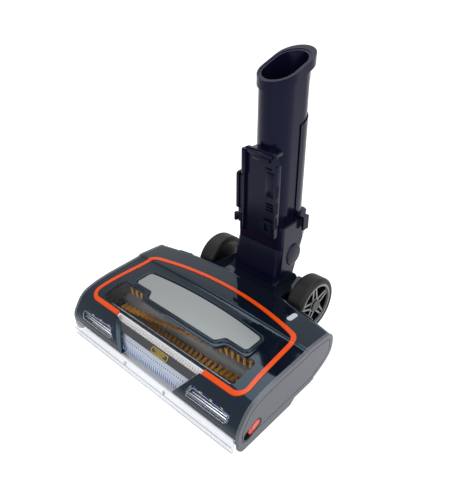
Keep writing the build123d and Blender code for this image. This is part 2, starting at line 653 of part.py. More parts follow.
# Pivot housing: rounded block between the wheels, cradling the yoke barrel
pivot_line = [
    (AXLE_Y, AXLE_Z - PIVOT_R),
    (PIVOT_FRONT_Y, SPLIT_Z + 7),
    (PIVOT_FRONT_Y, pivot_top),
    (AXLE_Y, pivot_top),
]
pivot = side_prism(polygon(pivot_line), -PIVOT_HALF, PIVOT_HALF)
pivot = pivot + rod(AXLE_Y, AXLE_Z, PIVOT_R, -PIVOT_HALF, PIVOT_HALF)
roof_run = AXLE_Y + PIVOT_R + 5 - REAR_Y
roof_line = [
    (REAR_Y, ROOF_Z),
    (REAR_Y + roof_run, ROOF_Z - roof_run * tan(radians(ROOF_SLOPE))),
    (REAR_Y + roof_run, SKY),
    (REAR_Y, SKY),
]
pivot = pivot - side_prism(polygon(roof_line), -PIVOT_HALF - 1, PIVOT_HALF + 1)
cheek_in = BARREL_HALF + FIT
pivot = pivot - rod(AXLE_Y, AXLE_Z, BARREL_R + FIT, -cheek_in, cheek_in)
pivot = pivot - block(-cheek_in, cheek_in, AXLE_Y - BARREL_R + 4, AXLE_Y + 60, -5, SKY)
duct_way = duct_half + FIT
pivot = pivot - block(
    -duct_way, duct_way, PIVOT_FRONT_Y - 1, AXLE_Y - BARREL_R + 5, DUCT_LOW - FIT, DUCT_TOP + FIT
)
pivot = pivot - rod(AXLE_Y, AXLE_Z, AXLE_R + RUN_FIT, -PIVOT_HALF - 1, PIVOT_HALF + 1)
nodes["pivot_housing"] = pivot

# Suction duct from the brush chamber to the barrel
duct = block(-duct_half, duct_half, brush_rear + WALL, AXLE_Y, DUCT_LOW, DUCT_TOP)
duct = duct - block(
    -duct_half + 2.2, duct_half - 2.2, brush_rear, AXLE_Y + 1, DUCT_LOW + 2.2, DUCT_TOP - 2.2
)
nodes["suction_duct"] = duct - rod(AXLE_Y, AXLE_Z, BARREL_R + FIT, -HALF, HALF)

# Wheels on stub axles
axle = rod(AXLE_Y, AXLE_Z, AXLE_R, BARREL_HALF - 4, WHEEL_OUT_X - 1)
axle = axle + rod(AXLE_Y, AXLE_Z, AXLE_R + 3, WHEEL_OUT_X - 2.2, WHEEL_OUT_X - 0.5)
tyre_line = [
    (WHEEL_IN_X, RIM_R),
    (WHEEL_OUT_X, RIM_R),
    (WHEEL_OUT_X, WHEEL_R),
    (WHEEL_IN_X, WHEEL_R),
]
tyre_face = polygon(tyre_line)
tyre_face = fillet(tyre_face.vertices().sort_by(Axis.Y)[2:], 5.0)
tyre = Pos(0, AXLE_Y, AXLE_Z) * revolve(tyre_face, Axis.X, 360)
hub_out = WHEEL_OUT_X - 2.5
rim = rod(AXLE_Y, AXLE_Z, RIM_R - RUN_FIT, WHEEL_IN_X + 1, WHEEL_OUT_X - 0.6)
rim = rim - rod(AXLE_Y, AXLE_Z, RIM_R - 3, WHEEL_IN_X, WHEEL_OUT_X + 1)
web = rod(AXLE_Y, AXLE_Z, RIM_R - 2, WHEEL_IN_X + 3, WHEEL_IN_X + 6)
boss = rod(AXLE_Y, AXLE_Z, 9.5, PIVOT_HALF + 1, hub_out - 0.3)
hub = rim + web + boss
spoke_pair = [
    Pos(hub_out - 3, 0, 0) * Rot(k * 360 / SPOKES, 0, 0) * Pos(0, off, (RIM_R + 4) / 2) * Rot(tilt, 0, 0)
    * Box(5.0, 2.6, RIM_R - 8)
    for k in range(SPOKES)
    for off, tilt in ((-3.4, -6), (3.4, 6))
]
for spoke in spoke_pair:
    hub = hub + Pos(0, AXLE_Y, AXLE_Z) * spoke
hub = hub - rod(AXLE_Y, AXLE_Z, AXLE_R + RUN_FIT, 0, HALF)
for side, turn in (("right", lambda s: s), ("left", mirrored)):
    nodes["axle_" + side] = turn(axle)
    nodes["wheel_tyre_" + side] = turn(tyre)
    nodes["wheel_hub_" + side] = turn(hub)

# Neck frame: w runs up the neck, v to its back
lean = radians(NECK_LEAN)
NECK = Plane(origin=(0, NECK_FOOT_Y, AXLE_Z), x_dir=(1, 0, 0), z_dir=(0, sin(lean), cos(lean)))


def racetrack(grow, shift=0.0, extra=0.0):
    """Flat-oval outline of the tube, grown outwards, longer to the back by extra."""
    long = 2 * (TUBE_HALF_DEEP + grow) + extra
    return Pos(0, shift + extra / 2) * SlotOverall(long, 2 * (TUBE_HALF_WIDE + grow), rotation=90)


def along(face, low, high):
    """Prism up the neck between two heights, in the neck frame."""
    return Pos(0, 0, low) * extrude(face, amount=high - low)


def below_mouth(drop):
    """Half space under the slanted mouth plane, lowered by drop."""
    slab = Pos(0, 0, -drop - FAR / 2) * Box(FAR, FAR, FAR)
    return Pos(0, 0, MOUTH_MID) * Rot(MOUTH_SLOPE, 0, 0) * slab


def neck_outline(half, front, side, rear, radius):
    """Outline of the lower neck: flat front, sides drawing in towards a narrow back."""
    points = [
        (-half, front),
        (half, front),
        (half - 3, side),
        (half - 16, rear),
        (16 - half, rear),
        (3 - half, side),
    ]
    return polygon(points, radius)


# Yoke: barrel on the axle, tapering up into the collar seat
collar_outline = neck_outline(COLLAR_HALF, COLLAR_FRONT, COLLAR_SIDE, COLLAR_REAR, 8)
foot = BARREL_R - 2
yoke_low = Pos(0, AXLE_Y, AXLE_Z) * neck_outline(BARREL_HALF - 1, -foot, 0.6 * foot, foot, 8)
yoke_top_height = COLLAR_LOW - FIT
yoke_top = NECK * (Pos(0, 0, yoke_top_height) * collar_outline)
yoke_form = loft([yoke_low, yoke_top])
bore_low = Pos(0, AXLE_Y, AXLE_Z) * neck_outline(BARREL_HALF - 5, 4 - foot, 0.6 * foot - 2, foot - 4, 5)
bore_outline = neck_outline(COLLAR_HALF - 4, COLLAR_FRONT + 4, COLLAR_SIDE, COLLAR_REAR - 4, 5)
bore_top = NECK * (Pos(0, 0, yoke_top_height - 4) * bore_outline)
yoke_bore = loft([bore_low, bore_top])
yoke = rod(AXLE_Y, AXLE_Z, BARREL_R, -BARREL_HALF, BARREL_HALF) + yoke_form
yoke = yoke - rod(AXLE_Y, AXLE_Z, BARREL_R - 3, -BARREL_HALF + 4.5, BARREL_HALF - 4.5) - yoke_bore
yoke = yoke - NECK * along(Circle(SPIGOT_R), COLLAR_LOW - 12, COLLAR_LOW + 1)
yoke = yoke - rod(AXLE_Y, AXLE_Z, AXLE_R + RUN_FIT, -BARREL_HALF - 1, BARREL_HALF + 1)
slot_half = duct_half - 2.2
front_slot = block(-slot_half, slot_half, AXLE_Y - BARREL_R - 1, AXLE_Y - 6, AXLE_Z - 13, AXLE_Z + 13)
under_slot = block(-slot_half, slot_half, AXLE_Y - 19, AXLE_Y + 6, AXLE_Z - BARREL_R - 1, AXLE_Z - 6)
nodes["neck_yoke"] = yoke - front_slot - under_slot

# Swivel collar with its spigot and tube seat
collar = along(collar_outline, COLLAR_LOW, COLLAR_TOP)
collar = chamfer(collar.edges().group_by(Axis.Z)[-1], 1.5)
collar = collar + along(Circle(SPIGOT_R - RUN_FIT), COLLAR_LOW - SPIGOT_LONG, COLLAR_LOW + 1)
collar = collar - along(Circle(SPIGOT_R - 4), COLLAR_LOW - SPIGOT_LONG - 1, TUBE_SEAT + 1)
collar = collar - along(racetrack(FIT), TUBE_SEAT, COLLAR_TOP + 1)
nodes["swivel_collar"] = NECK * collar

# Tube with the slanted mouth, rear cover and flange with a longer rear lip
tube = along(racetrack(0), TUBE_SEAT, MOUTH_MID + 60) & below_mouth(0)
tube = tube - along(racetrack(-TUBE_WALL), TUBE_SEAT - 1, MOUTH_MID + 80)
nodes["neck_tube"] = NECK * tube
cover = along(racetrack(COVER_PROUD + FIT), COLLAR_TOP + 1, MOUTH_MID)
cover = cover - along(racetrack(FIT), COLLAR_TOP, MOUTH_MID)
cover = cover & block(-FAR, FAR, COVER_EDGE, FAR, 0, FAR)
cover = cover & below_mouth(COVER_DROP)
nodes["tube_cover"] = NECK * cover
band = along(racetrack(FLANGE_PROUD, 0, LIP_EXTRA), MOUTH_MID - 80, MOUTH_MID + 80)
band = (band & below_mouth(-0.8)) - below_mouth(FLANGE_TALL)
band = band - along(racetrack(RUN_FIT), MOUTH_MID - 90, MOUTH_MID + 90)
nodes["mouth_flange"] = NECK * band

# Latch keeper under the rear lip, and the contact socket inside the mouth
lip_w = MOUTH_MID + TUBE_HALF_DEEP * tan(radians(MOUTH_SLOPE))
keeper = block(-9, 9, TUBE_HALF_DEEP - 3, TUBE_HALF_DEEP + 6, lip_w - 36, lip_w - 4)
keeper = keeper - block(-6, 6, TUBE_HALF_DEEP + 1.5, TUBE_HALF_DEEP + 7, lip_w - 30, lip_w - 16)
keeper = keeper - along(racetrack(FIT), 0, FAR)
keeper = keeper & below_mouth(FLANGE_TALL + FIT)
nodes["latch_keeper"] = NECK * keeper
socket = block(-10, 10, TUBE_HALF_DEEP - 14, TUBE_HALF_DEEP, MOUTH_MID - 40, MOUTH_MID - 16)
socket = socket & along(racetrack(-TUBE_WALL - FIT), 0, FAR)
for k in (-1, 1):
    socket = socket - block(
        k * 5 - 1.5, k * 5 + 1.5, TUBE_HALF_DEEP - 11, TUBE_HALF_DEEP - 7, MOUTH_MID - 32, MOUTH_MID - 10
    )
nodes["contact_socket"] = NECK * socket

# Accessory clip on the front of the tube: plate with saddle, wing, hook and catch
plate_face = polygon(
    [
        (CLIP_LEFT, CLIP_LOW),
        (CLIP_RIGHT, CLIP_LOW),
        (CLIP_RIGHT, CLIP_TOP - 12),
        (CLIP_RIGHT - 10, CLIP_TOP),
        (CLIP_LEFT, CLIP_TOP),
    ],
    3.0,
)
plate = front_prism(plate_face, CLIP_FRONT, CLIP_FRONT + CLIP_THICK)
saddle = block(-15, 18, CLIP_FRONT + CLIP_THICK - 0.5, -18, COLLAR_TOP + 6, CLIP_TOP - 8)
saddle = saddle - along(racetrack(FIT), 0, FAR)
nodes["clip_plate"] = NECK * (plate + saddle)
wing = block(CLIP_LEFT - 13, CLIP_LEFT - 9, CLIP_FRONT - 2, CLIP_FRONT + 16, WING_LOW, WING_TOP)
wing = fillet(wing.edges().filter_by(Axis.X), 4.0)
wing_stem = block(CLIP_LEFT - 9.5, CLIP_LEFT, CLIP_FRONT, CLIP_FRONT + CLIP_THICK, WING_LOW + 4, WING_TOP - 4)
wing = wing + wing_stem
nodes["clip_wing"] = NECK * wing
hook_line = [
    (CLIP_LEFT, HOOK_LOW),
    (CLIP_LEFT, HOOK_TOP),
    (CLIP_LEFT - 18, HOOK_TOP - 2),
    (CLIP_LEFT - 18, HOOK_TOP - 14),
    (CLIP_LEFT - 14, HOOK_TOP - 14),
    (CLIP_LEFT - 13, HOOK_TOP - 7),
    (CLIP_LEFT - 8, HOOK_TOP - 6),
    (CLIP_LEFT - 7, HOOK_LOW),
]
nodes["clip_hook"] = NECK * front_prism(polygon(hook_line, 1.0), CLIP_FRONT, CLIP_FRONT + CLIP_THICK)
catch = block(CLIP_RIGHT - 21, CLIP_RIGHT - 4, CLIP_FRONT - 3.5, CLIP_FRONT, CLIP_LOW + 6, CLIP_LOW + 24)
catch = fillet(catch.edges().filter_by(Axis.Y), 2.0)
catch = catch - block(
    CLIP_RIGHT - 16, CLIP_RIGHT - 9, CLIP_FRONT - 5, CLIP_FRONT - 1.5, CLIP_LOW + 10, CLIP_LOW + 20
)
nodes["clip_catch"] = NECK * catch

# Cord hook over the collar's rear right edge
hook_side = COLLAR_HALF - 3
cord_line = [
    (hook_side - 6, COLLAR_TOP),
    (hook_side - 6, COLLAR_TOP + 3.5),
    (hook_side + 6, COLLAR_TOP + 3.5),
    (hook_side + 6, COLLAR_TOP - 16),
    (hook_side + 3, COLLAR_TOP - 16),
    (hook_side + 3, COLLAR_TOP),
]
cord_hook = front_prism(polygon(cord_line, 0.0), 4, 15)
nodes["cord_hook"] = NECK * cord_hook

# One shared frame: box centred on X and Y, resting on the floor
assembly = Compound(children=[Compound(nodes[name].solids()) for name in nodes])
bounds = assembly.bounding_box()
shift = Pos(0, -(bounds.min.Y + bounds.max.Y) / 2, -bounds.min.Z)
print("shift", shift.position)
for name, shape in nodes.items():
    solids = shape.solids()
    piece = solids[0] if len(solids) == 1 else Compound(solids)
    export_step(shift * piece, "parts/" + name + ".step")
    print(name, len(solids), round(sum(s.volume for s in solids), 1))
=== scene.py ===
import math
import bpy
from mathutils import Matrix, Vector


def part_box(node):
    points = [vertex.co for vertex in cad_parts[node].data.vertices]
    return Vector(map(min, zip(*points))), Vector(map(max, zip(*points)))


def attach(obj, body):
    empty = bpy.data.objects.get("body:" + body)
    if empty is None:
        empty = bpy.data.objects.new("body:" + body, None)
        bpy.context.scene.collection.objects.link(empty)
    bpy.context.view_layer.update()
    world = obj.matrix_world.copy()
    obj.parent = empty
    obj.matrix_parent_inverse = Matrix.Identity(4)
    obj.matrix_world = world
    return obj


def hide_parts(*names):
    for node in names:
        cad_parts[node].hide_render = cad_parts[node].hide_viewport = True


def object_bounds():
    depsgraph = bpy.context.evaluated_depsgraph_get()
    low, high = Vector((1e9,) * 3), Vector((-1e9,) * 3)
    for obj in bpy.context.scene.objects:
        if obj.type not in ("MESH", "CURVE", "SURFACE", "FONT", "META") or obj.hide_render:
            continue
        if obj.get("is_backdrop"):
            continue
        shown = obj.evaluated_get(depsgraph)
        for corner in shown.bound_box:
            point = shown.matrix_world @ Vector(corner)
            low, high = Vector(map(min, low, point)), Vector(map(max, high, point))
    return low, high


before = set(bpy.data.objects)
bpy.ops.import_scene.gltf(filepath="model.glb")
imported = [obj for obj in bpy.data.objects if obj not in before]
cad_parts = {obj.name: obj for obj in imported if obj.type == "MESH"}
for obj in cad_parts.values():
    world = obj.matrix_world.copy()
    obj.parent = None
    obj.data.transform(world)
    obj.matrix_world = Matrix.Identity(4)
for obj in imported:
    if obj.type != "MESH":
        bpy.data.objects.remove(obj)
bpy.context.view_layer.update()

# Sole chassis, duct and sole rollers: black moulded ABS, screwed up into the housing.
# The seal strip is a soft rubber blade slid into a groove behind the brush.
MM = 0.001
PORE_DEEP, PORES_FINER = 0.4 * MM, 12.0


def reckon(tree, operation, *terms, clamp=False):
    """Math node on sockets and plain numbers; gives its value."""
    node = tree.nodes.new("ShaderNodeMath")
    node.operation = operation
    node.use_clamp = clamp
    for socket, term in zip(node.inputs, terms):
        if isinstance(term, bpy.types.NodeSocket):
            tree.links.new(term, socket)
        else:
            socket.default_value = term
    return node.outputs[0]


def new_group(name, sockets):
    """Shader node group with named sockets; gives the group, what it is given and its results."""
    group = bpy.data.node_groups.new(name, "ShaderNodeTree")
    for label, side, kind in sockets:
        group.interface.new_socket(label, in_out=side, socket_type="NodeSocket" + kind)
    given = group.nodes.new("NodeGroupInput").outputs
    results = group.nodes.new("NodeGroupOutput").inputs
    return group, given, results


def mottling(tree, scale, detail):
    """Noise over a piece's own coordinates; gives its value."""
    place = tree.nodes.new("ShaderNodeTexCoord")
    noise = tree.nodes.new("ShaderNodeTexNoise")
    noise.inputs["Detail"].default_value = detail
    tree.links.new(place.outputs["Object"], noise.inputs["Vector"])
    tree.links.new(scale, noise.inputs["Scale"])
    return noise.outputs["Fac"]


def grain_group():
    """Moulded surface: faint mottling of the gloss and a shallow uneven skin."""
    group, given, results = new_group("moulded_grain", (
        ("Scale", "INPUT", "Float"),
        ("Roughness", "INPUT", "Float"),
        ("Spread", "INPUT", "Float"),
        ("Depth", "INPUT", "Float"),
        ("Roughness", "OUTPUT", "Float"),
        ("Normal", "OUTPUT", "Vector"),
    ))
    swing = reckon(group, "SUBTRACT", mottling(group, given["Scale"], detail=3.0), 0.5)
    gloss = reckon(group, "MULTIPLY_ADD", swing, given["Spread"], given["Roughness"])
    pores = mottling(group, reckon(group, "MULTIPLY", given["Scale"], PORES_FINER), detail=2.0)
    bump = group.nodes.new("ShaderNodeBump")
    bump.inputs["Distance"].default_value = PORE_DEEP
    group.links.new(given["Depth"], bump.inputs["Strength"])
    group.links.new(pores, bump.inputs["Height"])
    group.links.new(gloss, results["Roughness"])
    group.links.new(bump.outputs["Normal"], results["Normal"])
    return group


MOULDED_GRAIN = grain_group()


def moulded(
    name, colour, roughness, spread=0.06, depth=0.05, scale=60.0,
    metallic=0.0, shine=0.5, tint=(1.0, 1.0, 1.0),
):
    """Opaque moulded or plated finish with the shared grain."""
    material = bpy.data.materials.new(name)
    material.use_nodes = True
    nodes, links = material.node_tree.nodes, material.node_tree.links
    shader = nodes["Principled BSDF"]
    shader.inputs["Base Color"].default_value = (*colour, 1.0)
    shader.inputs["Metallic"].default_value = metallic
    shader.inputs["Specular IOR Level"].default_value = shine
    shader.inputs["Specular Tint"].default_value = (*tint, 1.0)
    grain = nodes.new("ShaderNodeGroup")
    grain.node_tree = MOULDED_GRAIN
    grain.inputs["Scale"].default_value = scale
    grain.inputs["Roughness"].default_value = roughness
    grain.inputs["Spread"].default_value = spread
    grain.inputs["Depth"].default_value = depth
    links.new(grain.outputs["Roughness"], shader.inputs["Roughness"])
    links.new(grain.outputs["Normal"], shader.inputs["Normal"])
    return material


def dress(material, *names):
    """Puts a finish on moulded nodes."""
    for name in names:
        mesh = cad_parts[name].data
        mesh.materials.clear()
        mesh.materials.append(material)


sole_black = moulded("sole_black", (0.016, 0.016, 0.018), 0.55, depth=0.25)
seal_rubber = moulded("seal_rubber", (0.012, 0.012, 0.012), 0.75, depth=0.3)
dress(sole_black, "sole_chassis", "suction_duct", "sole_roller_left", "sole_roller_right")
dress(seal_rubber, "rear_seal_strip")

# Sole screws: zinc-plated steel pan heads with a cross slot.
# Pressed and slotted, driven up through the chassis behind the seal into the housing.
SCREW_SIDES, SCREW_R, SCREW_TALL, SCREW_ROUND = 24, 3.0 * MM, 1.6 * MM, 0.5 * MM
CROSS_HALF, CROSS_REACH, CROSS_LOW, CROSS_TOP = 0.35 * MM, 1.9 * MM, -1.2 * MM, -0.3 * MM
SCREW_IN = 44.0 * MM
SCREW_OUTER_X, SCREW_INNER_X = 127.0 * MM, 60.0 * MM
SHARP = math.radians(35)
scene = bpy.context.scene


def alone(piece):
    """Makes one piece the only selected and active one."""
    bpy.ops.object.select_all(action="DESELECT")
    piece.select_set(True)
    bpy.context.view_layer.objects.active = piece
    return piece


def disc(sides, radius, deep, centre=(0, 0, 0), lying=False):
    """Short cylinder, standing up or lying across the head, with its place in its mesh."""
    bpy.ops.object.select_all(action="DESELECT")
    turn = (0, math.pi / 2, 0) if lying else (0, 0, 0)
    bpy.ops.mesh.primitive_cylinder_add(
        vertices=sides, radius=radius, depth=deep, location=centre, rotation=turn
    )
    bpy.ops.object.transform_apply(location=True, rotation=True, scale=True)
    return bpy.context.object


def rounded(piece, width, segments=2):
    """Rounds the sharp edges of a piece."""
    alone(piece)
    bevel = piece.modifiers.new("rounded", "BEVEL")
    bevel.width = width
    bevel.segments = segments
    bevel.limit_method = "ANGLE"
    bevel.angle_limit = SHARP
    bpy.ops.object.modifier_apply(modifier=bevel.name)
    bpy.ops.object.shade_smooth_by_angle(angle=SHARP)
    return piece


def bar(low, high, round_by=0.0):
    """Block between two corners, in metres, with rounded edges."""
    low, high = Vector(low), Vector(high)
    bpy.ops.object.select_all(action="DESELECT")
    bpy.ops.mesh.primitive_cube_add(size=1.0, location=(low + high) / 2)
    piece = bpy.context.object
    piece.scale = high - low
    bpy.ops.object.transform_apply(location=True, rotation=True, scale=True)
    if round_by:
        rounded(piece, round_by)
    return piece


def joined(pieces):
    """Joins several pieces into one."""
    alone(pieces[0])
    for piece in pieces:
        piece.select_set(True)
    bpy.ops.object.join()
    return bpy.context.object


def repeated(pattern, places):
    """Copies a pattern piece to every place, each with its own mesh, and joins the copies."""
    made = []
    for place in places:
        twin = pattern.copy()
        twin.data = pattern.data.copy()
        twin.matrix_world = place
        scene.collection.objects.link(twin)
        made.append(twin)
    bpy.data.objects.remove(pattern)
    return joined(made)


def settle(piece, name, finish, body, slot, *stands_for):
    """Names a finished piece, puts its place in its mesh and ties it to the frame."""
    alone(piece)
    bpy.ops.object.transform_apply(location=True, rotation=True, scale=True)
    piece.name = name
    piece.data.name = name
    piece.data.materials.clear()
    piece.data.materials.append(finish)
    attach(piece, body)
    if stands_for:
        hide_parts(*stands_for)
    return piece


def met(name, start, way):
    """Point and normal where a line from start first meets a moulded node."""
    found, point, normal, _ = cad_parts[name].ray_cast(Vector(start), Vector(way))
    if not found:
        raise ValueError("no surface of " + name + " under " + str(tuple(start)))
    return point, normal


screw_zinc = moulded("screw_zinc", (0.5, 0.5, 0.5), 0.35, metallic=1.0)
sole_low, sole_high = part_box("sole_chassis")
screw = rounded(disc(SCREW_SIDES, SCREW_R, SCREW_TALL), SCREW_ROUND)
cross = joined([
    bar((-CROSS_HALF, -CROSS_REACH, CROSS_LOW), (CROSS_HALF, CROSS_REACH, CROSS_TOP)),
    bar((-CROSS_REACH, -CROSS_HALF, CROSS_LOW), (CROSS_REACH, CROSS_HALF, CROSS_TOP)),
])
alone(screw)
cross_cut = screw.modifiers.new("cross_slot", "BOOLEAN")
cross_cut.object = cross
cross_cut.operation = "DIFFERENCE"
cross_cut.use_self = True
bpy.ops.object.modifier_apply(modifier=cross_cut.name)
bpy.data.objects.remove(cross)
bpy.context.view_layer.update()
places = []
for x in (-SCREW_OUTER_X, -SCREW_INNER_X, SCREW_INNER_X, SCREW_OUTER_X):
    seat, _ = met("sole_chassis", (x, sole_high.y - SCREW_IN, 0), (0, 0, 1))
    places.append(Matrix.Translation(seat))
settle(repeated(screw, places), "sole_screws", screw_zinc, "head", "sole_black")

# Drive inside the head: motor can, three pulleys and two belts, with bushes in the end walls.
# Steel can, aluminium pulleys, black rubber belts and white acetal bushes pressed into the chassis.
motor_steel = moulded("motor_steel", (0.45, 0.45, 0.46), 0.35, metallic=1.0)
pulley_grey = moulded("pulley_grey", (0.42, 0.43, 0.45), 0.4, metallic=1.0)
belt_rubber = moulded("belt_rubber", (0.012, 0.012, 0.012), 0.7)
bearing_white = moulded("bearing_white", (0.6, 0.6, 0.58), 0.4)
dress(motor_steel, "drive_motor")
dress(pulley_grey, "brush_pulley", "roller_pulley", "motor_pulley")
dress(belt_rubber, "motor_belt", "roller_belt")
dress(bearing_white, "roller_bush_left", "roller_bush_right", "brush_bush_left", "brush_bush_right")

# Brush: grey core with rows of gold nylon tufts set along a slow twist.
# Each tuft is a bundle of strands, stapled into the core and trimmed to one radius.
ROWS, TWIST, TUFT_PITCH, ROW_IN = 4, math.radians(-120.0), 8.4 * MM, 3.0 * MM
STRANDS, STRAND_R, STRAND_TAPER, ROOT_SUNK = 7, 0.7 * MM, 0.7, 0.8 * MM
STRAND_TURN, STRAND_GAP, STRAND_SPLAY = 2.4, 0.75 * MM, 0.035
core_grey = moulded("core_grey", (0.3, 0.31, 0.31), 0.3)
bristle_gold = moulded("bristle_gold", (1.0, 0.5, 0.05), 0.5)
fibre = bristle_gold.node_tree.nodes["Principled BSDF"]
fibre.inputs["Sheen Weight"].default_value = 0.8
fibre.inputs["Sheen Roughness"].default_value = 0.5
fibre.inputs["Sheen Tint"].default_value = (1.0, 0.55, 0.12, 1.0)
dress(core_grey, "brush_core", "roller_core")
core_low, core_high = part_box("brush_core")
brush_low, brush_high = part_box("brush_bristles")
axis_y, axis_z = (brush_low.y + brush_high.y) / 2, (brush_low.z + brush_high.z) / 2
tip_r = (brush_high.z - brush_low.z) / 2
root_r = (core_high.z - core_low.z) / 2 - ROOT_SUNK
strand_long = tip_r - root_r
strands = []
for k in range(STRANDS):
    off_x = math.sqrt(k) * math.cos(STRAND_TURN * k)
    off_y = math.sqrt(k) * math.sin(STRAND_TURN * k)
    bpy.ops.object.select_all(action="DESELECT")
    bpy.ops.mesh.primitive_cone_add(
        vertices=4, radius1=STRAND_R, radius2=STRAND_TAPER * STRAND_R, depth=strand_long,
        location=(STRAND_GAP * off_x, STRAND_GAP * off_y, strand_long / 2),
        rotation=(-STRAND_SPLAY * off_y, STRAND_SPLAY * off_x, 0),
    )
    strands.append(bpy.context.object)
tuft = joined(strands)
bpy.ops.object.transform_apply(location=True, rotation=True, scale=True)
row_long = brush_high.x - brush_low.x - 2 * ROW_IN
tufts = int(row_long / TUFT_PITCH)
places = []
for row in range(ROWS):
    for k in range(tufts + 1):
        share = k / tufts
        turn = 2 * math.pi * row / ROWS + TWIST * share - math.pi / 2
        place = Matrix.Translation((brush_low.x + ROW_IN + row_long * share, axis_y, axis_z))
        places.append(place @ Matrix.Rotation(turn, 4, "X") @ Matrix.Translation((0, 0, root_r)))
settle(
    repeated(tuft, places), "brush_tufts", bristle_gold, "brush", "bristle_orange", "brush_bristles"
)

# Soft roller: pale blue-white pile on a tube, seen through the clear front.
# The pile is woven on a backing tube, wound on the core and glued; its face is uneven.
PILE_SIDES, PILE_CUTS, PILE_IN = 120, 100, 0.35 * MM
CLUMP_WIDE, CLUMP_DEEP = 4.0 * MM, 0.7 * MM


def picked(piece, kind, wanted):
    """Opens a piece for editing with only the wanted faces or edges selected."""
    alone(piece)
    bpy.ops.object.mode_set(mode="EDIT")
    bpy.ops.mesh.select_mode(type=kind)
    bpy.ops.mesh.select_all(action="DESELECT")
    bpy.ops.object.mode_set(mode="OBJECT")
    for element in piece.data.polygons if kind == "FACE" else piece.data.edges:
        element.select = wanted(element)
    bpy.ops.object.mode_set(mode="EDIT")


soft_fibre = moulded("soft_fibre", (0.84, 0.87, 0.94), 0.85, depth=0.6, scale=120.0, shine=0.1)
pile_low, pile_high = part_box("roller_sleeve")
pile_long = pile_high.x - pile_low.x
pile = disc(PILE_SIDES, (pile_high.z - pile_low.z) / 2 - PILE_IN, pile_long, lying=True)
pile.location = (pile_low + pile_high) / 2


def lengthwise(edge):
    """Whether an edge of the pile runs from end to end."""
    a, b = (pile.data.vertices[i].co for i in edge.vertices)
    return abs(a.x - b.x) > pile_long / 2


picked(pile, "EDGE", lengthwise)
bpy.ops.mesh.subdivide(number_cuts=PILE_CUTS)
bpy.ops.object.mode_set(mode="OBJECT")
clumps = bpy.data.textures.new("pile_clumps", "CLOUDS")
clumps.noise_scale = CLUMP_WIDE
uneven = pile.modifiers.new("uneven", "DISPLACE")
uneven.texture = clumps
uneven.strength = CLUMP_DEEP
uneven.mid_level = 0.5
bpy.ops.object.modifier_apply(modifier=uneven.name)
bpy.ops.object.shade_smooth_by_angle(angle=math.radians(60))
settle(pile, "roller_pile", soft_fibre, "soft_roller", "soft_fibre", "roller_sleeve")

# Housing, lid frame and pivot: dark blue-black ABS shells with a polished skin.
# Injection moulded; the lid clips into the housing, and the housing is screwed to the sole.
deck_dark = moulded(
    "deck_dark", (0.003, 0.005, 0.011), 0.06, spread=0.03, depth=0.0, scale=40.0,
    shine=0.36, tint=(0.55, 0.8, 1.0),
)
dress(deck_dark, "top_housing", "lid_frame", "pivot_housing")

# Rear vents: two rows of short louvres on the deck's rear edge.
# Moulded in one with the dark ABS housing, one louvre repeated along each row.
VENT_FIRST, VENT_PITCH, VENTS = 98.0 * MM, 4.4 * MM, 5
VENT_IN, VENT_EDGE_Z, LOUVRE_ROUND = 4.5 * MM, 48.0 * MM, 0.5 * MM
LOUVRE_HALF, LOUVRE_REACH, LOUVRE_SUNK, LOUVRE_PROUD = 1.2 * MM, 3.4 * MM, 0.6 * MM, 0.8 * MM
AFAR, ABOVE = 300.0 * MM, 200.0 * MM
BACKWARD, FORWARD, DOWN = (0, 1, 0), (0, -1, 0), (0, 0, -1)


def upright(point, normal):
    """Place on a surface: Z along its normal, X kept across the head."""
    across = Vector((1, 0, 0))
    across = (across - normal * across.dot(normal)).normalized()
    turn = Matrix((across, normal.cross(across), normal)).transposed().to_4x4()
    return Matrix.Translation(point) @ turn


louvre = bar(
    (-LOUVRE_HALF, -LOUVRE_REACH, -LOUVRE_SUNK), (LOUVRE_HALF, LOUVRE_REACH, LOUVRE_PROUD), LOUVRE_ROUND
)
places = []
for side in (-1, 1):
    for k in range(VENTS):
        x = side * (VENT_FIRST + VENT_PITCH * k)
        edge, _ = met("top_housing", (x, AFAR, VENT_EDGE_Z), FORWARD)
        places.append(upright(*met("top_housing", (x, edge.y - VENT_IN, ABOVE), DOWN)))
settle(repeated(louvre, places), "rear_vents", deck_dark, "head", "deck_dark")

# Crossbar: satin grey ABS strip under the comb.
# Moulded flat and welded between the two lamp pods.
crossbar_grey = moulded("crossbar_grey", (0.03, 0.031, 0.036), 0.42)
dress(crossbar_grey, "lid_crossbar")

# Trim loop: orange ABS band round the lid.
# Moulded as one open loop and clipped into the groove in the housing.
trim_orange = moulded("trim_orange", (0.66, 0.062, 0.002), 0.24, shine=0.25)
dress(trim_orange, "loop_trim")

# Plaque: thin silver-painted plate on the lid's raised bridge.
# Stamped to its stepped outline and glued down.
plaque_silver = moulded("plaque_silver", (0.21, 0.226, 0.228), 0.38, metallic=0.35)
dress(plaque_silver, "lid_plaque")

# Bridge rim: rounded dark ABS bead round the plaque.
# Moulded with the lid; it follows the plaque's stepped front and bowed rear.
RIM_R, RIM_OUT, RIM_CORNER = 1.7 * MM, 3.2 * MM, 7.0 * MM
STEP_IN, STEP_WIDE, STEP_DEEP = 31.5 * MM, 8.0 * MM, 11.5 * MM
REAR_BOW, BOW_STEPS = 7.0 * MM, 6


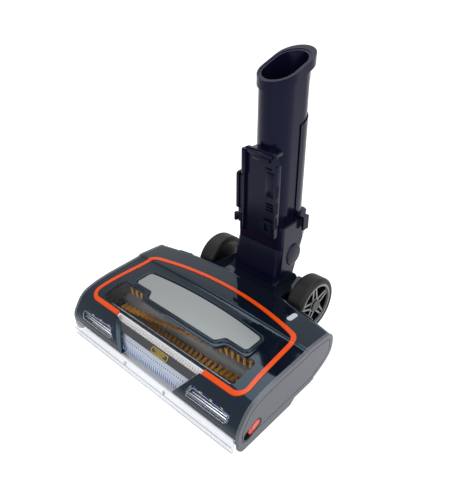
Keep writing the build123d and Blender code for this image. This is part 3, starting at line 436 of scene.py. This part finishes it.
def draped(outline, corner, name, start, way, thick):
    """Bead along a closed outline, its corners rounded, laid on a moulded node."""
    count = len(outline)
    mesh = bpy.data.meshes.new("bead")
    mesh.from_pydata(outline, [(k, (k + 1) % count) for k in range(count)], [])
    bead = bpy.data.objects.new("bead", mesh)
    scene.collection.objects.link(bead)
    alone(bead)
    bpy.ops.object.mode_set(mode="EDIT")
    bpy.ops.mesh.select_all(action="SELECT")
    bpy.ops.mesh.bevel(affect="VERTICES", offset=corner, segments=5)
    bpy.ops.mesh.select_all(action="SELECT")
    bpy.ops.mesh.subdivide(number_cuts=3)
    bpy.ops.object.mode_set(mode="OBJECT")
    for point in bead.data.vertices:
        point.co, _ = met(name, point.co + Vector(start), way)
    bpy.ops.object.convert(target="CURVE")
    bead.data.bevel_depth = thick
    bead.data.bevel_resolution = 3
    bpy.ops.object.convert(target="MESH")
    bpy.ops.object.shade_smooth()
    return bpy.context.object


plaque_low, plaque_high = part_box("lid_plaque")
half = plaque_high.x + RIM_OUT
step = half - STEP_IN
rear, front = plaque_high.y + RIM_OUT, plaque_low.y - RIM_OUT
shoulder_y = front + STEP_DEEP
outline = [
    (-half, shoulder_y, 0), (-step, shoulder_y, 0), (-step + STEP_WIDE, front, 0),
    (step - STEP_WIDE, front, 0), (step, shoulder_y, 0), (half, shoulder_y, 0),
]
for k in range(2 * BOW_STEPS + 1):
    share = 1 - k / BOW_STEPS
    outline.append((half * share, rear - REAR_BOW * share ** 2, 0))
rim = draped(outline, RIM_CORNER, "lid_frame", (0, 0, ABOVE), DOWN, RIM_R)
settle(rim, "bridge_rim", deck_dark, "head", "deck_dark")

# Clear mouldings: smoky brush window, ribbed front window, front shield, comb and lamp lenses.
# Thin polycarbonate, welded or clipped into the openings of the housing and lid.
SLANT_POWER = 4.0


def clear(name, tint, roughness, haze):
    """Thin polycarbonate: light passes straight through, the face mirrors more at a slant."""
    material = bpy.data.materials.new(name)
    material.use_nodes = True
    tree = material.node_tree
    shader = tree.nodes["Principled BSDF"]
    shader.inputs["Base Color"].default_value = (0.85, 0.87, 0.9, 1.0)
    shader.inputs["Metallic"].default_value = 0.6
    shader.inputs["Roughness"].default_value = roughness
    through = tree.nodes.new("ShaderNodeBsdfTransparent")
    through.inputs["Color"].default_value = (*tint, 1.0)
    slant = tree.nodes.new("ShaderNodeLayerWeight")
    slant.inputs["Blend"].default_value = 0.5
    steep = reckon(tree, "POWER", slant.outputs["Facing"], SLANT_POWER)
    both = tree.nodes.new("ShaderNodeMixShader")
    tree.links.new(reckon(tree, "ADD", steep, haze, clamp=True), both.inputs[0])
    tree.links.new(through.outputs[0], both.inputs[1])
    tree.links.new(shader.outputs[0], both.inputs[2])
    tree.links.new(both.outputs[0], tree.nodes["Material Output"].inputs["Surface"])
    return material


smoky_window = clear("smoky_window", tint=(0.98, 0.98, 0.98), roughness=0.06, haze=0.0)
clear_front = clear("clear_front", tint=(0.97, 0.98, 1.0), roughness=0.05, haze=0.03)
clear_shield = clear("clear_shield", tint=(0.94, 0.95, 0.965), roughness=0.1, haze=0.22)
lamp_clear = clear("lamp_clear", tint=(0.97, 0.98, 1.0), roughness=0.05, haze=0.01)
comb_clear = clear("comb_clear", tint=(0.86, 0.82, 0.76), roughness=0.3, haze=0.4)
dress(smoky_window, "lid_window")
dress(clear_front, "front_window")
dress(clear_shield, "front_shield")
dress(lamp_clear, "lamp_lens_left", "lamp_lens_right")
dress(comb_clear, "comb_strip")

# Shield edges: lips along the shield's fold and lower edge, with two short ribs, coloured pale grey as
# painted highlight.
# Thickened polycarbonate, moulded in one with the front shield.
LIP_IN, LIP_FRONT, LIP_BACK, LIP_ROUND = 2.0 * MM, 0.4 * MM, 1.4 * MM, 0.25 * MM
LOWER_LIP, FOLD_LIP = (0.0 * MM, 0.8 * MM), (8.6 * MM, 9.5 * MM)
RIB_X, RIB_HALF, RIB_FRONT, RIB_BACK = 36.0 * MM, 0.7 * MM, 0.8 * MM, 3.2 * MM
RIB_LOW, RIB_TOP, RIB_ROUND = 9.0 * MM, 15.0 * MM, 0.3 * MM
# Pale grey: painted highlight where the clear edges and ribs catch the light.
lip_highlight_grey = moulded("lip_highlight_grey", (0.42, 0.44, 0.47), 0.3)
shield_low, shield_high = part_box("front_shield")
shield_y, shield_z = shield_low.y, shield_low.z
lips = []
for lip_low, lip_top in (LOWER_LIP, FOLD_LIP):
    left_foot = (shield_low.x + LIP_IN, shield_y + LIP_FRONT, shield_z + lip_low)
    right_head = (shield_high.x - LIP_IN, shield_y + LIP_BACK, shield_z + lip_top)
    lips.append(bar(left_foot, right_head, LIP_ROUND))
for x in (-RIB_X, RIB_X):
    left_foot = (x - RIB_HALF, shield_y + RIB_FRONT, shield_z + RIB_LOW)
    right_head = (x + RIB_HALF, shield_y + RIB_BACK, shield_z + RIB_TOP)
    lips.append(bar(left_foot, right_head, RIB_ROUND))
settle(joined(lips), "shield_lips", lip_highlight_grey, "head", "clear_front")

# Badge: small dark pill with a yellow edge and two yellow lines, on the crossbar.
# A printed label stuck to the crossbar; its lines stand a little proud, like thick ink.
BADGE_EDGE, BADGE_LINE, BADGE_ROUND = 0.7 * MM, 0.3 * MM, 0.48
MARK_HALF, MARK_ROUND, MARK_LINE = 0.2 * MM, 0.1 * MM, 0.16 * MM
LOWER_MARK, UPPER_MARK = (0.36, 0.22), (0.64, 0.3)
badge_black = moulded("badge_black", (0.03, 0.028, 0.02), 0.3)
badge_yellow = moulded("badge_yellow", (0.75, 0.52, 0.02), 0.4)
dress(badge_black, "badge_plate")
badge_low, badge_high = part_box("badge_plate")
badge_wide, badge_tall = badge_high.x - badge_low.x, badge_high.z - badge_low.z
badge_x = (badge_low.x + badge_high.x) / 2


def inked(left, right, low, high, corner, thick):
    """Oblong line on the badge's face."""
    outline = [(left, 0, low), (right, 0, low), (right, 0, high), (left, 0, high)]
    return draped(outline, corner, "badge_plate", (0, -AFAR, 0), BACKWARD, thick)


low_z, high_z = badge_low.z + BADGE_EDGE, badge_high.z - BADGE_EDGE
lines = [inked(
    badge_low.x + BADGE_EDGE, badge_high.x - BADGE_EDGE, low_z, high_z,
    BADGE_ROUND * (high_z - low_z), BADGE_LINE,
)]
for rise, reach in (LOWER_MARK, UPPER_MARK):
    z, wide = badge_low.z + badge_tall * rise, badge_wide * reach
    lines.append(inked(
        badge_x - wide, badge_x + wide, z - MARK_HALF, z + MARK_HALF, MARK_ROUND, MARK_LINE
    ))
settle(joined(lines), "badge_outline", badge_yellow, "head", "badge")

# Window teeth: two rows of small ribs across the clear front window.
# Blue and grey polycarbonate points, moulded on the window's face.
RIDGE_PITCH, RIDGE_ROUND = 3.6 * MM, 0.2 * MM
TOOTH_R, TOOTH_TIP_R, TOOTH_LONG, TOOTH_FLAT = 1.5 * MM, 0.3 * MM, 6.5 * MM, 0.5
TOOTH_Z, TOOTH_IN = 31.0 * MM, 13.0 * MM
TICK_HALF, TICK_REACH, TICK_SUNK, TICK_PROUD = 0.5 * MM, 1.2 * MM, 0.3 * MM, 0.35 * MM
TICK_Z, TICK_IN = 39.0 * MM, 6.0 * MM
teeth_blue = moulded("teeth_blue", (0.1, 0.19, 0.42), 0.3)
tick_grey = moulded("tick_grey", (0.12, 0.14, 0.2), 0.4)
_, window_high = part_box("front_window")


def window_row(pattern, z, inset):
    """Row of like ribs standing on the front window at one height."""
    count = int(2 * (window_high.x - inset) / RIDGE_PITCH)
    places = []
    for k in range(count + 1):
        x = (k - count / 2) * RIDGE_PITCH
        places.append(upright(*met("front_window", (x, -AFAR, z), BACKWARD)))
    return repeated(pattern, places)


bpy.ops.object.select_all(action="DESELECT")
bpy.ops.mesh.primitive_cone_add(vertices=4, radius1=TOOTH_R, radius2=TOOTH_TIP_R, depth=TOOTH_LONG)
tooth = bpy.context.object
tooth.rotation_euler = (-math.pi / 2, 0, 0)
tooth.scale = (1.0, TOOTH_FLAT, 1.0)
bpy.ops.object.transform_apply(location=True, rotation=True, scale=True)
rounded(tooth, RIDGE_ROUND, segments=1)
teeth = window_row(tooth, TOOTH_Z, TOOTH_IN)
settle(teeth, "window_teeth", teeth_blue, "head", "clear_front")
tick = bar((-TICK_HALF, -TICK_REACH, -TICK_SUNK), (TICK_HALF, TICK_REACH, TICK_PROUD), RIDGE_ROUND)
ticks = window_row(tick, TICK_Z, TICK_IN)
settle(ticks, "window_ticks", tick_grey, "head", "clear_front")

# Headlamps: dark pods behind clear lenses, with chromed rails low down and small lamps on a board.
# The rails are plated bars clipped into the pod; a thin pale bead round each lens is painted highlight
# on its edge.
LED_DEEP, RAIL_ROUND = 2.2 * MM, 0.4 * MM
LOWER_RAIL, UPPER_RAIL = (2.0 * MM, 1.5 * MM), (4.8 * MM, 1.1 * MM)
RAIL_IN, RAIL_OUT, RAIL_FRONT, RAIL_BACK = 4.0 * MM, 5.0 * MM, 3.2 * MM, 4.6 * MM
EDGE_LOW, EDGE_LOW_IN, EDGE_LOW_OUT = 0.9 * MM, 2.2 * MM, 4.2 * MM
EDGE_TOP_IN, EDGE_TOP_OUT, EDGE_TOP_NEAR, EDGE_TOP_FAR = 8.6 * MM, 1.2 * MM, 1.2 * MM, 2.8 * MM
EDGE_CORNER, EDGE_LINE = 2.2 * MM, 0.3 * MM


def parted_group():
    """One colour below a limit and another above it."""
    group, given, results = new_group("parted_colour", (
        ("Value", "INPUT", "Float"),
        ("Limit", "INPUT", "Float"),
        ("Below", "INPUT", "Color"),
        ("Above", "INPUT", "Color"),
        ("Colour", "OUTPUT", "Color"),
    ))
    blend = group.nodes.new("ShaderNodeMix")
    blend.data_type = "RGBA"
    over = reckon(group, "GREATER_THAN", given["Value"], given["Limit"])
    group.links.new(over, blend.inputs["Factor"])
    group.links.new(given["Below"], blend.inputs["A"])
    group.links.new(given["Above"], blend.inputs["B"])
    group.links.new(blend.outputs["Result"], results["Colour"])
    return group


PARTED_COLOUR = parted_group()


def parted(material, axis, limit, below, above, both_ways=False):
    """Gives a finish two colours, changing where the piece crosses a plane."""
    tree = material.node_tree
    place = tree.nodes.new("ShaderNodeTexCoord")
    split = tree.nodes.new("ShaderNodeSeparateXYZ")
    tree.links.new(place.outputs["Object"], split.inputs["Vector"])
    value = split.outputs[axis]
    if both_ways:
        value = reckon(tree, "ABSOLUTE", value)
    group = tree.nodes.new("ShaderNodeGroup")
    group.node_tree = PARTED_COLOUR
    group.inputs["Limit"].default_value = limit
    group.inputs["Below"].default_value = (*below, 1.0)
    group.inputs["Above"].default_value = (*above, 1.0)
    tree.links.new(value, group.inputs["Value"])
    tree.links.new(group.outputs["Colour"], tree.nodes["Principled BSDF"].inputs["Base Color"])
    return material


lamp_pod = moulded("lamp_pod", (0.02, 0.035, 0.15), 0.25)
lamp_chrome = moulded("lamp_chrome", (0.86, 0.88, 0.92), 0.18, metallic=1.0, depth=0.0)
# Pale grey bead: painted highlight along the edge of each clear lens.
lamp_edge_highlight = moulded("lamp_edge_highlight", (0.4, 0.43, 0.48), 0.3)
lamp_board = moulded("lamp_board", (0.5, 0.5, 0.5), 0.3)
_, board_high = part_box("lamp_board_right")
led_face = board_high.y - LED_DEEP
parted(lamp_board, "Y", led_face, below=(0.75, 0.68, 0.3), above=(0.01, 0.015, 0.04))
dress(lamp_pod, "lamp_reflector_left", "lamp_reflector_right")
dress(lamp_board, "lamp_board_left", "lamp_board_right")
for side, sign in (("left", -1), ("right", 1)):
    lens = "lamp_lens_" + side
    lens_low, lens_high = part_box(lens)
    inner, outer = sorted((abs(lens_low.x), abs(lens_high.x)))
    rails = []
    for rise, tall in (LOWER_RAIL, UPPER_RAIL):
        z = lens_low.z + rise
        spot, _ = met(lens, (sign * (inner + outer) / 2, -AFAR, z), BACKWARD)
        left, right = sorted((sign * (inner + RAIL_IN + rise), sign * (outer - RAIL_OUT)))
        left_foot, right_head = (left, spot.y + RAIL_FRONT, z), (right, spot.y + RAIL_BACK, z + tall)
        rails.append(bar(left_foot, right_head, RAIL_ROUND))
    settle(joined(rails), "lamp_rails_" + side, lamp_chrome, "head", "lamp_chrome")
    corners = (
        (inner + EDGE_LOW_IN, lens_low.z + EDGE_LOW),
        (outer - EDGE_LOW_OUT, lens_low.z + EDGE_LOW),
        (outer - EDGE_TOP_OUT, lens_high.z - EDGE_TOP_FAR),
        (inner + EDGE_TOP_IN, lens_high.z - EDGE_TOP_NEAR),
    )
    outline = [(sign * x, 0, z) for x, z in corners]
    edge = draped(outline, EDGE_CORNER, lens, (0, -AFAR, 0), BACKWARD, EDGE_LINE)
    settle(edge, "lamp_edge_highlight_" + side, lamp_edge_highlight, "head", "lamp_chrome")

# Indicator lens: pale diffusing window in the deck.
# Milky polycarbonate, pushed into its slot from inside the housing.
indicator_pale = moulded("indicator_pale", (0.45, 0.48, 0.52), 0.2)
dress(indicator_pale, "indicator_lens")

# Side panels: satin grey ABS end caps with a parting line, clipped over the housing's ends.
# A red release button with a raised pad, painted paler red as a highlight, slides in a dark cup let
# into the right panel.
BUTTON_TILT, BUTTON_LONG, BUTTON_WIDE = math.radians(19.0), 19.0 * MM, 9.5 * MM
DISH_EDGE, DISH_DEEP, CAPSULE_ROUND = 0.12, 0.35, 0.05
CAPSULE_SIDES, FACING_OUT = 48, 0.9
PAD_LONG, PAD_WIDE, PAD_DEEP, PAD_OUT, PAD_UP = 0.62, 0.8, 0.55, 0.2, 0.14
panel_grey = moulded("panel_grey", (0.066, 0.074, 0.095), 0.34, depth=0.15)
cup_dark = moulded("cup_dark", (0.012, 0.012, 0.014), 0.4)
button_red = moulded("button_red", (0.6, 0.03, 0.015), 0.25)
# Paler red of the pad: painted highlight on the button's lit top.
pad_highlight_red = moulded("pad_highlight_red", (0.7, 0.13, 0.09), 0.35)
dress(panel_grey, "side_panel_left", "side_panel_right")
dress(cup_dark, "button_cup")


def capsule(length, width, deep):
    """Round-ended block lying along Y, its depth along X, with a dished outer face."""
    piece = disc(CAPSULE_SIDES, width / 2, deep, lying=True)
    stretch = (length - width) / 2
    for point in piece.data.vertices:
        point.co.y += stretch if point.co.y > 0 else -stretch
    picked(piece, "FACE", lambda face: face.normal.x > FACING_OUT)
    bpy.ops.mesh.inset(thickness=DISH_EDGE * width)
    bpy.ops.transform.translate(value=(-DISH_DEEP * deep, 0, 0))
    bpy.ops.object.mode_set(mode="OBJECT")
    return rounded(piece, CAPSULE_ROUND * width)


button_low, button_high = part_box("release_button")
button_deep = button_high.x - button_low.x
tilted = Matrix.Translation((button_low + button_high) / 2) @ Matrix.Rotation(BUTTON_TILT, 4, "X")
button = capsule(BUTTON_LONG, BUTTON_WIDE, button_deep)
button.matrix_world = tilted
settle(button, "button_cap", button_red, "release_button", "button_red", "release_button")
pad = capsule(PAD_LONG * BUTTON_LONG, PAD_WIDE * BUTTON_WIDE, PAD_DEEP * button_deep)
pad.matrix_world = tilted @ Matrix.Translation((PAD_OUT * button_deep, PAD_UP * BUTTON_LONG, 0))
settle(pad, "button_pad", pad_highlight_red, "release_button", "button_red")

# Wheels: black rubber tyres on hubs with five paired spokes, satin grey outside and black behind.
# Hubs turn on stub axles and are kept by black caps; the tyres are pressed over the rims.
HUB_FACE = 3.0 * MM
tyre_rubber = moulded("tyre_rubber", (0.006, 0.006, 0.007), 0.5, depth=0.3, shine=0.22)
hub_grey = moulded("hub_grey", (0.2, 0.2, 0.2), 0.35)
axle_black = moulded("axle_black", (0.008, 0.008, 0.009), 0.4)
_, hub_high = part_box("wheel_hub_right")
parted(
    hub_grey, "X", hub_high.x - HUB_FACE, below=(0.005, 0.005, 0.006), above=(0.2, 0.205, 0.22),
    both_ways=True,
)
dress(tyre_rubber, "wheel_tyre_left", "wheel_tyre_right")
dress(hub_grey, "wheel_hub_left", "wheel_hub_right")
dress(axle_black, "axle_left", "axle_right")

# Neck: yoke, collar, tube, cover, flange, clip and hook in satin navy ABS.
# Separate mouldings, clipped together round the air way; the contact socket is black.
neck_navy = moulded(
    "neck_navy", (0.003, 0.0035, 0.013), 0.2, spread=0.05, shine=0.19, tint=(0.55, 0.6, 1.0)
)
socket_black = moulded("socket_black", (0.002, 0.002, 0.002), 0.5, shine=0.08)
dress(neck_navy, "neck_yoke", "swivel_collar", "neck_tube", "tube_cover", "mouth_flange")
dress(neck_navy, "latch_keeper", "clip_plate", "clip_wing", "clip_hook", "clip_catch", "cord_hook")
dress(socket_black, "contact_socket")

# Accessory dock on the neck: side walls, top ledge, inner panel and a ridged latch.
# Navy ABS ribs moulded on the clip plate; the black bars on the right wall and inner panel are painted
# shade standing for slots.
NECK_FOOT, NECK_LEAN = Vector((0, 92.2, 38.0)) * MM, math.radians(3.9)
DOCK_LOW, LEDGE_LOW, DOCK_TOP, PLATE_FACE = 84, 188, 193, -44
RIDGE_LOWS, RIDGE_TALL = (118, 122, 126), 2.4
SLOT_LOWS, SLOT_TALL = (98, 119, 141), 15


def on_neck(low, high, round_by):
    """Block between two corners in the neck's own leaning frame, in millimetres."""
    piece = bar(Vector(low) * MM, Vector(high) * MM, round_by * MM)
    piece.matrix_world = Matrix.Translation(NECK_FOOT) @ Matrix.Rotation(-NECK_LEAN, 4, "X")
    return piece


left_shoulder = on_neck((-23, -50, 158), (-16, -38, DOCK_TOP), 2.0)
left_wall = on_neck((-20, -49, DOCK_LOW), (-17.5, -41, 160), 1.0)
right_wall = on_neck((30.5, -49.5, DOCK_LOW), (33.5, -40, 182), 1.0)
top_ledge = on_neck((-17, -48, LEDGE_LOW), (24, -26, DOCK_TOP), 1.2)
ledge_lip = on_neck((-8, -47.5, 182), (20, PLATE_FACE, LEDGE_LOW), 1.0)
inner_panel = on_neck((15, -46.8, 138), (29, PLATE_FACE, 170), 1.0)
hook_web = on_neck((-32, -44.2, 86), (-18, -40, 110), 1.0)
dock = [left_shoulder, left_wall, right_wall, top_ledge, ledge_lip, inner_panel, hook_web]
for low in RIDGE_LOWS:
    dock.append(on_neck((15, -47.6, low), (28, PLATE_FACE, low + RIDGE_TALL), 0.8))
settle(joined(dock), "dock_walls", neck_navy, "neck_tube", "neck_navy")
# Painted shade: thin black bars proud of the walls stand for the dark inside of the slots.
slot_shades = [on_neck((32.9, -47.5, low), (33.8, -43, low + SLOT_TALL), 0.3) for low in SLOT_LOWS]
slot_shades.append(on_neck((13, -46.2, 173), (22, -44.5, 175.5), 0.3))
settle(joined(slot_shades), "dock_slot_shades", socket_black, "neck_tube", "socket_black")

# Yoke ears: rounded bosses on both sides of the yoke under the collar.
# Navy ABS, moulded in one with the yoke, their edges rounded over.
EAR_SIDES, EAR_R, EAR_DEEP, EAR_ROUND = 48, 16.0 * MM, 9.0 * MM, 2.0 * MM
EAR_X, EAR_Y, EAR_Z = 33.6 * MM, 86.0 * MM, 85.0 * MM
ears = []
for x in (-EAR_X, EAR_X):
    ear = disc(EAR_SIDES, EAR_R, EAR_DEEP, (x, EAR_Y, EAR_Z), lying=True)
    ears.append(rounded(ear, EAR_ROUND, segments=3))
settle(joined(ears), "yoke_ears", neck_navy, "neck_yoke", "neck_navy")

# Studio: pale floor that keeps a soft shadow, one broad lamp overhead and two fills.
# The floor's glow is held back under the head as painted shade, so that the openings there stay dark.
FLOOR_WIDE, FLOOR_GLOW, SHADE_IN = 8.0, 0.85, 8.0 * MM
SKY_SEEN, SKY_LIGHT = 1.0, 0.45
scene.view_settings.view_transform = "Standard"


def looked_at(tree):
    """One for rays from the camera, off mirrors and through glass, and none for other light."""
    rays = tree.nodes.new("ShaderNodeLightPath").outputs
    direct = reckon(tree, "MAXIMUM", rays["Is Camera Ray"], rays["Is Glossy Ray"])
    return reckon(tree, "MAXIMUM", direct, rays["Is Transmission Ray"])


bpy.ops.object.select_all(action="DESELECT")
bpy.ops.mesh.primitive_plane_add(size=FLOOR_WIDE, location=(0, 0, 0))
floor = bpy.context.object
floor.name = "studio_floor"
floor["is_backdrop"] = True
floor_white = bpy.data.materials.new("floor_white")
floor_white.use_nodes = True
tree = floor_white.node_tree
tree.nodes.clear()
place = tree.nodes.new("ShaderNodeTexCoord")
split = tree.nodes.new("ShaderNodeSeparateXYZ")
tree.links.new(place.outputs["Object"], split.inputs["Vector"])
# Painted shade: no glow on the floor over the sole's footprint, drawn in by SHADE_IN on each side.
beyond_painted_shade = []
for k, axis in enumerate("XY"):
    middle = (sole_low[k] + sole_high[k]) / 2
    reach = (sole_high[k] - sole_low[k]) / 2 - SHADE_IN
    away = reckon(tree, "ABSOLUTE", reckon(tree, "SUBTRACT", split.outputs[axis], middle))
    beyond_painted_shade.append(reckon(tree, "GREATER_THAN", away, reach))
clear_of_painted_shade = reckon(tree, "MAXIMUM", *beyond_painted_shade)
strength = reckon(tree, "MULTIPLY", looked_at(tree), FLOOR_GLOW)
matt = tree.nodes.new("ShaderNodeBsdfDiffuse")
matt.inputs["Color"].default_value = (0.5, 0.5, 0.5, 1.0)
glow = tree.nodes.new("ShaderNodeEmission")
glow.inputs["Color"].default_value = (1.0, 1.0, 1.0, 1.0)
both = tree.nodes.new("ShaderNodeAddShader")
out = tree.nodes.new("ShaderNodeOutputMaterial")
tree.links.new(reckon(tree, "MULTIPLY", strength, clear_of_painted_shade), glow.inputs["Strength"])
tree.links.new(matt.outputs[0], both.inputs[0])
tree.links.new(glow.outputs[0], both.inputs[1])
tree.links.new(both.outputs[0], out.inputs["Surface"])
floor.data.materials.append(floor_white)

world = bpy.data.worlds.new("studio_world")
scene.world = world
world.use_nodes = True
tree = world.node_tree
sky = tree.nodes["Background"]
sky.inputs["Color"].default_value = (1.0, 1.0, 1.0, 1.0)
level = reckon(tree, "MULTIPLY_ADD", looked_at(tree), SKY_SEEN - SKY_LIGHT, SKY_LIGHT)
tree.links.new(level, sky.inputs["Strength"])


def softbox(name, place, aim, size, power):
    """Square soft lamp pointed at a spot."""
    light = bpy.data.lights.new(name, "AREA")
    light.shape = "SQUARE"
    light.size = size
    light.energy = power
    lamp = bpy.data.objects.new(name, light)
    scene.collection.objects.link(lamp)
    lamp.location = place
    lamp.rotation_euler = (Vector(aim) - Vector(place)).to_track_quat("-Z", "Y").to_euler()
    return lamp


softbox("overhead_lamp", place=(-0.3, 0.4, 1.5), aim=(0, 0, 0.1), size=1.2, power=14.0)
softbox("right_lamp", place=(1.4, 0.1, 0.9), aim=(0, 0, 0.15), size=0.9, power=12.0)
softbox("front_lamp", place=(0.6, -1.5, 0.7), aim=(0, 0, 0.05), size=0.8, power=10.0)

# Camera: fitted to the photograph's viewpoint, slightly rolled.
# Its lens is about as long as the sensor is wide, and everything is in focus.
AZIMUTH, ELEVATION, ROLL = math.radians(44.67), math.radians(33.93), math.radians(-2.98)
TARGET, DISTANCE = Vector((-78.95, 89.14, 40.8)) * MM, 824.67 * MM
SENSOR_WIDE, FRAME_PIXELS, FOCAL_PIXELS = 36.0, 500.0, 543.67
back = Vector((
    math.sin(AZIMUTH) * math.cos(ELEVATION),
    -math.cos(AZIMUTH) * math.cos(ELEVATION),
    math.sin(ELEVATION),
))
level_right = Vector((math.cos(AZIMUTH), math.sin(AZIMUTH), 0.0))
level_up = back.cross(level_right)
right = level_right * math.cos(ROLL) + level_up * math.sin(ROLL)
up = level_up * math.cos(ROLL) - level_right * math.sin(ROLL)
lens = bpy.data.cameras.new("photo_camera")
lens.sensor_width = SENSOR_WIDE
lens.lens = FOCAL_PIXELS * SENSOR_WIDE / FRAME_PIXELS
lens.clip_start = 0.01
camera = bpy.data.objects.new("photo_camera", lens)
scene.collection.objects.link(camera)
turn = Matrix((right, up, back)).transposed().to_4x4()
camera.matrix_world = Matrix.Translation(TARGET + back * DISTANCE) @ turn
scene.camera = camera

low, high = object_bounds()
